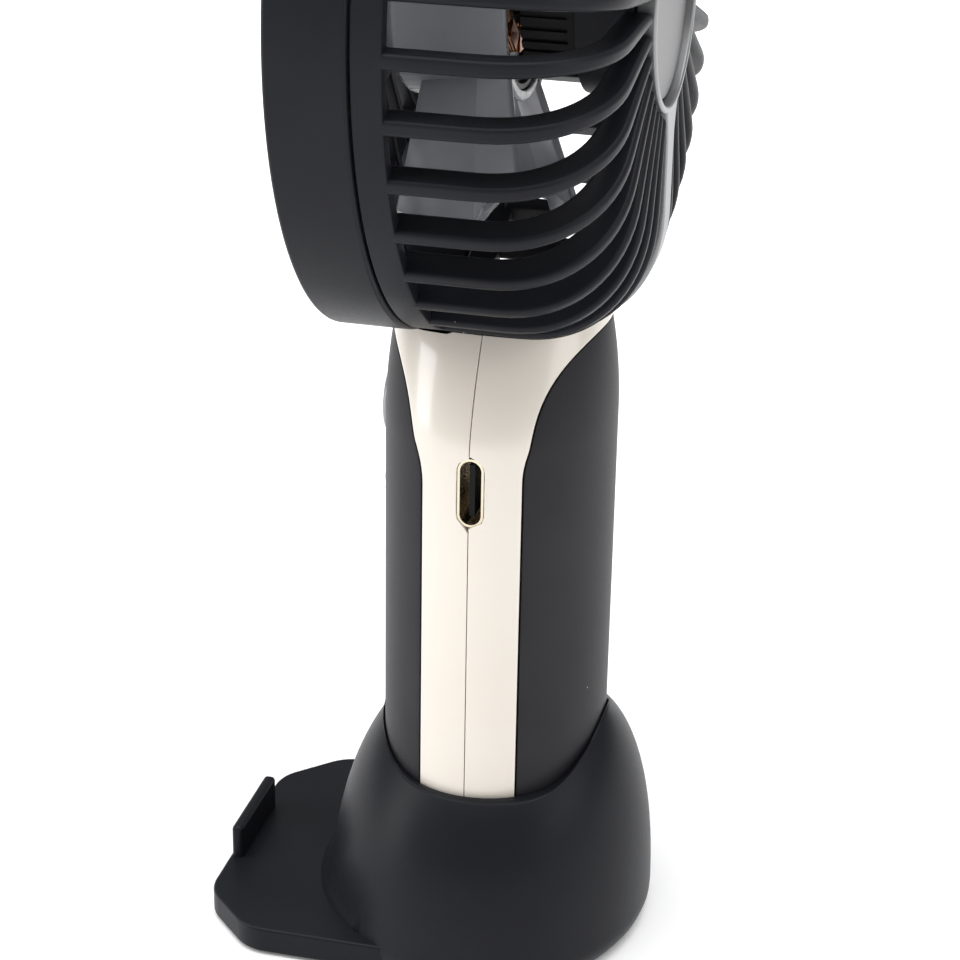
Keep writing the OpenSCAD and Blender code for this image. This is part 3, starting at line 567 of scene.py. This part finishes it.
cover = bmesh.new()
spun(cover, [(ring_radius - 2.3, parting - 0.1), (ring_radius, parting - 0.1), (ring_radius, ring_front),
             (ring_radius - 2.3, ring_front)], steps=192)
clean(cover)
soften(cover, 0.5, segments=4)
bars = bmesh.new()
front_line = [(bezel_radius + 0.05, bar_front), (26, bar_front + 0.7), (34, bar_front + 1.7), (39.8, -16.3)]
plate_from(bars, front_line + [(r, y + 2.4) for r, y in reversed(front_line)], 0.5)
thin_towards_middle(bars, bar_thick)
clean(bars)
soften(bars, 0.4, segments=2, least=60)
repeated(bars, bar_count - 1, 360 - 360 / bar_count)
joined(cover, bars)
inner = bmesh.new()
spun(inner, [(27.4, bar_front + 1.3), (28.6, bar_front + 1.3), (28.6, bar_front + 3), (27.4, bar_front + 3)])
spun(inner, [(0, bar_front + 1.9), (bezel_radius + 1, bar_front + 1.9), (bezel_radius + 1, bar_front + 3.1),
             (0, bar_front + 3.1)], closed=False)
for third in lug_angles:
    spun_arc(inner, [(37.1, parting - 1.9), (39.6, parting - 1.9), (39.6, parting - 0.1),
                     (38.3, parting - 0.1), (38.3, parting + 1.5), (39.1, parting + 1.5),
                     (39.1, parting + 2.4), (37.1, parting + 2.4)], third - 5, 10, steps=8)
clean(inner)
soften(inner, 0.2)
joined(cover, inner)
finished("front_cover", cover, "front_cover", "cage_plastic", ["front_grille"])

# %% [markdown]
# ## Hub rings, discs and the spine's trim
# Both ends of the axis carry a thin bright ring round a brushed disc. On the back, the ring runs
# out into a strip that follows the spine down to the neck. The strip widens where it meets the
# ring, so it is a mapped sheet: one share goes across it and the other along the cage's curve.

# %% Rings and discs
rear_ring = bmesh.new()
spun(rear_ring, [(bezel_radius - ring_wall, plate_back + 0.05), (bezel_radius, plate_back + 0.05),
                 (bezel_radius, back_depth + 0.3), (bezel_radius - ring_wall, back_depth + 0.3)])
clean(rear_ring)
soften(rear_ring, 0.32, segments=3)

strip_proud = 0.22
strip_line = [p for p in corner(-strip_proud, 40) if p[1] > 11.4]
strip_line += [(r, back_depth + strip_proud) for r in (20, 17, 15, 13.4)]
def strip_place(u, v):
    """Across the strip by u, from the neck to the ring by v."""
    at = v * (len(strip_line) - 1)
    i = min(int(at), len(strip_line) - 2)
    r = strip_line[i][0] + (strip_line[i + 1][0] - strip_line[i][0]) * (at - i)
    y = strip_line[i][1] + (strip_line[i + 1][1] - strip_line[i][1]) * (at - i)
    half = strip_half + 1.6 * math.exp(-max(0, r - 14) / 1.4)
    return ((2 * u - 1) * half, y, HEAD - r)

strip = mapped_sheet(10, len(strip_line) - 1, strip_place)
bmesh.ops.recalc_face_normals(strip, faces=strip.faces[:])
bmesh.ops.solidify(strip, geom=strip.faces[:], thickness=0.95)
strip_top = max(v.co.y for v in strip.verts)
if strip_top > back_depth + 0.35:
    bmesh.ops.translate(strip, verts=strip.verts[:], vec=(0, back_depth + strip_proud - strip_top, 0))
clean(strip)
soften(strip, 0.22, segments=3, least=60)
joined(rear_ring, strip)
finished("rear_trim_ring", rear_ring, "fan", "silver_trim", ["rear_trim"])

disc_radius = bezel_radius - ring_wall - 0.4

def disc(name, inner_y, outer_y, body, node):
    """A spun disc with a chamfered edge; outer_y is the side that shows."""
    bm = bmesh.new()
    toward = math.copysign(1, outer_y - inner_y)
    spun(bm, [(0, inner_y), (disc_radius, inner_y), (disc_radius, outer_y - 0.4 * toward),
              (disc_radius - 0.3, outer_y), (0, outer_y - 0.12 * toward)], closed=False)
    clean(bm)
    soften(bm, 0.1)
    finished(name, bm, body, "gunmetal_disc", [node])

disc("rear_medallion", plate_back + 0.05, plate_back + 1.55, "fan", "rear_disc")
disc("front_medallion", bar_front + 1.85, bar_front + 0.35, "front_cover", "front_hub_disc")
front_ring = bmesh.new()
spun(front_ring, [(bezel_radius - ring_wall, bar_front - 0.5), (bezel_radius, bar_front - 0.5),
                  (bezel_radius, bar_front + 1.85), (bezel_radius - ring_wall, bar_front + 1.85)])
clean(front_ring)
soften(front_ring, 0.32, segments=3)
finished("front_bezel", front_ring, "front_cover", "silver_trim", ["front_hub_ring"])

# %% [markdown]
# ## Impeller
# Five blades stand on a hub. A blade is twisted and has a crease along its span, which splits it
# into two flat facets. A mapped sheet gives that: across the blade the points run from the leading
# edge to the crease and on to the trailing edge, and solidify gives it a wall.

# %% Blades and hub
hub_radius = 14
blade_root = 13.3
blade_tip = 33.5
blade_phase = 51
blade_count = 5

def blade_place(u, v):
    """u runs along the span from the hub, v across from the leading to the trailing edge."""
    cut = max(0, (u - 0.85) / 0.15)
    lead = (-9 - u + 4.5 * cut, -8.4 + 5.7 * cut)
    crease = (-2, -1.5 + 3.6 * u)
    trail = (7 + u - 3.5 * cut, 2.3 + 5.4 * u - 4.2 * cut)
    a, b, t = (lead, crease, 2 * v) if v < 0.5 else (crease, trail, 2 * v - 1)
    angle = math.radians(a[0] + (b[0] - a[0]) * t)
    depth = a[1] + (b[1] - a[1]) * t
    r = blade_root + (blade_tip - blade_root) * u
    return (r * math.sin(angle), depth, HEAD - r * math.cos(angle))

blades = mapped_sheet(20, 8, blade_place)
bmesh.ops.recalc_face_normals(blades, faces=blades.faces[:])
bmesh.ops.solidify(blades, geom=blades.faces[:], thickness=1.0)
bmesh.ops.recalc_face_normals(blades, faces=blades.faces[:])
soften(blades, 0.3, segments=2, least=60)
turn_about_axis(blades, blades.verts[:], -blade_phase)
repeated(blades, blade_count - 1, -(360 - 360 / blade_count))
hub = bmesh.new()
spun(hub, [(0, -12.2), (hub_radius - 1.6, -12.2), (hub_radius, -10.6), (hub_radius, 2.6), (12.75, 2.6),
           (12.75, -10.7), (0, -10.7)], closed=False)
clean(hub)
soften(hub, 0.25)
joined(blades, hub)
finished("fan_blades", blades, "rotor", "smoke_plastic", ["impeller"], smooth=12)

# %% [markdown]
# ## Dock
# The dome is one sheet: one share goes round it, the other follows a path from the underside, up
# the outside, over the rim and down the socket. The rim is lowest beside the handle, so every
# column ends at its own height. The phone tray and its lip are plates with softened edges.

# %% Dome of the dock
dome_side, dome_front, dome_rear = 24.8, 21.6, 21.3
skirt, tray_top, socket_floor = 0.4, 4.0, 5.0
socket_wide, socket_deep = 17.3, 14.7
foot_wall = 2.4
ceiling = 3.35      # underside of the socket's floor

def shrink(z, height, power):
    """How much of its full width the dome keeps at a height."""
    return (1 - (z / height) ** power) ** (1 / power)

def dome_point(angle, z, inset=0.0):
    flare = 1.7 if z < tray_top else 1.7 * math.exp(-(z - tray_top) / 1.8)
    foot = 1.2 * ((3 - z) / 2.6) ** 2 if z < 3 else 0
    c, s = math.cos(angle), math.sin(angle)
    wide = dome_side * shrink(z, 31.2, 2.6)
    deep = dome_front * shrink(z, 35.6, 2.2) + flare if s < 0 else dome_rear * shrink(z, 36.8, 2.6)
    return ((wide - foot - inset) * c, (deep - foot - inset) * s, z)

def rim_height(y):
    return 25 + (4 * (y / 14.8) ** 4 if y < 0 else 6 * (y / 14.8) ** 6.5)

def dome_place(u, v):
    """u goes round the dome, v along the path from the underside to the socket's floor."""
    angle = 2 * math.pi * u
    c, s = math.cos(angle), math.sin(angle)
    top, reach = 27.5, 1.75
    for _ in range(14):
        top += reach if rim_height(dome_point(angle, top)[1]) > top else -reach
        reach /= 2
    inside = (socket_wide * c, socket_deep * s)
    above_tray = s < -0.2 and abs(dome_point(angle, 3)[0]) < 20.6
    low = 3.3 if above_tray else skirt
    at = v * 60
    if at < 1:
        return (0.0, 0.0, ceiling)
    if at < 2:
        return dome_point(angle, ceiling, foot_wall)
    if at < 3:
        return dome_point(angle, low, foot_wall)
    if at <= 45:
        share = (at - 3) / 42
        return dome_point(angle, low + (top - low) * (1 - (1 - share) ** 1.4))
    if at <= 50:
        share = (at - 45) / 5
        ox, oy, _ = dome_point(angle, top)
        x, y = ox + (inside[0] - ox) * share, oy + (inside[1] - oy) * share
        return (x, y, rim_height(y) - 0.12 * (2 * share - 1) ** 4)
    if at <= 58:
        share = (at - 50) / 8
        return (*inside, rim_height(inside[1]) + (socket_floor - rim_height(inside[1])) * share)
    return (inside[0] * (60 - at) / 2, inside[1] * (60 - at) / 2, socket_floor)

dock = mapped_sheet(160, 60, dome_place)
clean(dock)
soften(dock, 0.18, segments=3, least=50)
print("dome faces:", len(dock.faces))

# %% Phone tray and lip
tray_half, tray_front, corner_cut, corner_soft = 22.7, -35.2, 7.6, 5.0

def bend(a, b, c, steps=8):
    """Rounds the corner b between a and c."""
    a, b, c = Vector(a), Vector(b), Vector(c)
    p, q = b + (a - b).normalized() * corner_soft / 2, b + (c - b).normalized() * corner_soft / 2
    return [p * (1 - t) ** 2 + b * 2 * t * (1 - t) + q * t * t for t in (i / steps for i in range(steps + 1))]

side, cut = (tray_half, tray_front + corner_cut), (tray_half - corner_cut, tray_front)
half_line = bend((tray_half, -6), side, cut) + bend(side, cut, (0, tray_front))
tray_line = [Vector((x, y)) for x, y in ((-tray_half, -9), (-tray_half, -6), (tray_half, -6), (tray_half, -9))]
tray_line = tray_line + half_line + [Vector((-p.x, p.y)) for p in reversed(half_line)]
tray = bmesh.new()
tray_face = tray.faces.new([tray.verts.new((p.x, p.y, tray_top)) for p in tray_line])
if tray_face.normal.z > 0:
    tray_face.normal_flip()
grown = bmesh.ops.extrude_face_region(tray, geom=[tray_face])
lower = [g for g in grown["geom"] if isinstance(g, bmesh.types.BMVert)]
bmesh.ops.translate(tray, verts=lower, vec=(0, 0, skirt - tray_top))
clean(tray)
soften(tray, 0.42, segments=3, least=60)
under = min(tray.faces, key=lambda f: f.calc_center_median().z)
bmesh.ops.inset_region(tray, faces=[under], thickness=1.5)
sunk = bmesh.ops.extrude_face_region(tray, geom=[under])
bmesh.ops.delete(tray, geom=[under], context="FACES_ONLY")
ceiling_verts = [g for g in sunk["geom"] if isinstance(g, bmesh.types.BMVert)]
bmesh.ops.translate(tray, verts=ceiling_verts, vec=(0, 0, 3.0))
for v in tray.verts:
    if v.co.y > -8 and v.co.z < 3.3:
        v.co.z = 3.3
joined(dock, tray)
lip = bmesh.new()
bmesh.ops.create_cube(lip, size=1)
lip_size, lip_centre = (14.4, 1.6, 7.3), (0, tray_front + 1.15, 5.05)
bmesh.ops.scale(lip, vec=lip_size, verts=lip.verts[:])
bmesh.ops.translate(lip, vec=lip_centre, verts=lip.verts[:])
soften(lip, 0.55, segments=4)
joined(dock, lip)
finished("dock_body", dock, "dock", "dock_plastic", ["dock_shell"], smooth=50)

# %% [markdown]
# ## Handle
# The grip is an oval that narrows into a neck. Each half carries a dark panel in a recess with an
# arched top. The cream wall is two bands beside the recess, joined over the arch and under the
# panel, and all of them are mapped sheets that share one rule for the grip's surface. The top edge
# follows the cage, so the handle ends in a saddle.

# %% The grip's surface
grip_wide, grip_deep, neck_start, grip_low = 17.0, 14.4, 72.0, 5.2
panel_half, arch_high, arch_power = 15.22, 16.4, 2.1
port_height = 66.8
port_long, port_wide = 4.59, 1.75       # half sizes of the socket's opening
seam_half = 0.06
panel_gap = 0.15

def narrow(z):
    return max(0, (z - neck_start) / (86 - neck_start))

def grip_point(face, share, z):
    """A point of the grip: face is -1 in front and 1 behind, share is x over the half width."""
    wide = grip_wide - 6.2 * narrow(z) ** 1.5
    deep = grip_deep - 1.25 * narrow(z) ** 2
    return (share * wide, face * deep * math.sqrt(max(0, 1 - share ** 2)), z)

def saddle_height(x, y):
    """Height of the cage's underside, with its gap, above a point."""
    if y < rim_back:
        r = cage_radius + 0.62
    elif y < corner_depth:
        r = cage_radius + 0.32
    else:
        deep = min(1, (y - corner_depth) / (back_depth - corner_depth + 0.32))
        turned = (1 - deep ** corner_power) ** (1 / corner_power)
        r = corner_radius + (cage_radius - corner_radius + 0.32) * turned
    return HEAD - math.sqrt(r * r - x * x)

def arch_rows(face, grow):
    """[height, half width] of the panel's outline from its foot to the arch's top."""
    foot = 68.2 - (1.6 if face < 0 else 0)
    low = grip_low + 1.4 - grow
    straight = [low + (foot - low) * i / 72 for i in range(72)]
    rows = [(z, panel_half + grow) for z in straight]
    for i in range(41):
        t = math.pi / 2 * i / 40
        rows.append((foot + (arch_high + grow) * math.sin(t) ** (2 / arch_power),
                     (panel_half + grow) * max(0, math.cos(t)) ** (2 / arch_power)))
    return rows

def mouth(face, z):
    """How far the socket's opening reaches from the seam at a height."""
    off = abs(z - port_height)
    straight = port_long - port_wide
    if off >= port_long:
        return seam_half
    half = port_wide if off < straight else math.sqrt(port_wide ** 2 - (off - straight) ** 2)
    return max(seam_half, face * 0.15 + half)

print("saddle height on the axis:", round(saddle_height(0, 0), 2))

# %% Cream halves
def shell_wall(bm, thickness):
    """Gives a skin a wall on its inside, towards the handle's axis."""
    places = [(f.normal, f.calc_center_median()) for f in bm.faces]
    outward = sum(n.x * c.x + n.y * c.y for n, c in places)
    if outward < 0:
        bmesh.ops.reverse_faces(bm, faces=bm.faces[:])
    before = max(v.co.y ** 2 + v.co.x ** 2 for v in bm.verts)
    bmesh.ops.solidify(bm, geom=bm.faces[:], thickness=thickness)
    after = max(v.co.y ** 2 + v.co.x ** 2 for v in bm.verts)
    print("wall grew outward by", round(math.sqrt(after) - math.sqrt(before), 2))
    bmesh.ops.recalc_face_normals(bm, faces=bm.faces[:])
    return bm

def half_shell(name, face, node):
    rows = arch_rows(face, panel_gap)
    last = len(rows) - 1
    shell = bmesh.new()
    for hand in (-1, 1):
        def band_place(u, v):
            at = v * (last + 12)
            z, inner = rows[min(round(at), last)]
            wide = grip_point(face, 1, z)[0]
            start = math.acos(min(1, inner / wide))
            deep = grip_point(face, 0, z)[1]
            seam = mouth(face, z) if hand > 0 else seam_half
            end = math.asin(seam / abs(deep))
            angle = start + (end - start) * u
            x, y, z = grip_point(face, hand * math.cos(angle), z)
            if at > last:
                for _ in range(4):
                    top = saddle_height(x, y)
                    z += (top - z) * min(1, (at - last) / 12)
                    x, y, z = grip_point(face, hand * math.cos(angle), z)
            return (x, y, z)
        joined(shell, mapped_sheet(28, last + 12, band_place))
    foot = [(grip_low + 1.25, 0), (6.0, 0), (5.62, 0.08), (5.35, 0.34), (5.2, 0.8)]
    def foot_place(u, v):
        at = round(v * 5)
        angle = math.radians(0.25) + math.radians(179.5) * u
        if at == 5:
            return (8 * math.cos(angle), face * seam_half, grip_low)
        z, inset = foot[at]
        return ((grip_wide - inset) * math.cos(angle), face * (grip_deep - inset) * math.sin(angle), z)
    joined(shell, mapped_sheet(72, 5, foot_place))
    bmesh.ops.remove_doubles(shell, verts=shell.verts[:], dist=0.01)
    bmesh.ops.recalc_face_normals(shell, faces=shell.faces[:])
    wall = shell_wall(shell, 1.5)
    soften(wall, 0.16, segments=2, least=60)
    finished(name, wall, "fan", "cream_plastic", [node], smooth=40)

half_shell("cream_front", -1, "handle_front_half")
half_shell("cream_rear", 1, "handle_rear_half")

# %% Dark panels
def punch(bm, x, z, radius):
    """Opens a round hole: faces inside go, and the edge left behind is pulled onto the circle."""
    def off(co):
        return math.hypot(co.x - x, co.z - z)
    gone = [f for f in bm.faces if off(f.calc_center_median()) < radius]
    rim = {v for f in gone for v in f.verts if any(g not in gone for g in v.link_faces)}
    bmesh.ops.delete(bm, geom=gone, context="FACES")
    for v in rim:
        if v.is_valid:
            k = radius / max(off(v.co), 0.01)
            v.co.x, v.co.z = x + (v.co.x - x) * k, z + (v.co.z - z) * k

def panel_skin(name, face, node, holes):
    rows = arch_rows(face, 0)
    def panel_place(u, v):
        z, half = rows[round(v * (len(rows) - 1))]
        wide = grip_point(face, 1, z)[0]
        limit = math.asin(min(1, half / wide))
        return grip_point(face, math.sin((2 * u - 1) * limit), z)
    skin = mapped_sheet(60, len(rows) - 1, panel_place)
    bmesh.ops.remove_doubles(skin, verts=skin.verts[:], dist=0.01)
    for x, z, radius in holes:
        punch(skin, x, z, radius)
    bmesh.ops.recalc_face_normals(skin, faces=skin.faces[:])
    wall = shell_wall(skin, 1.2)
    soften(wall, 0.2, segments=3, least=60)
    finished(name, wall, "fan", "panel_plastic", [node], smooth=40)

button_height = 71.5
holes = [(0, button_height, 5.2)] + [(x, 61.8, 0.9) for x in (-5.4, -1.8, 1.8, 5.4)]
panel_skin("panel_front", -1, "front_panel", holes)
panel_skin("panel_rear", 1, "rear_panel", [])

# %% Button
button = bmesh.new()
spun(button, [(0, -14.3), (4.6, -14.3), (5, -13.9), (5, -10.3), (6, -10.3), (6, -9.6),
              (4, -9.6), (4, -13), (0, -13)], steps=96, closed=False)
bmesh.ops.translate(button, verts=button.verts[:], vec=(0, 0, button_height - HEAD))
clean(button)
soften(button, 0.12, segments=2)
finished("button_cap", button, "button", "silver_trim", ["power_button"])
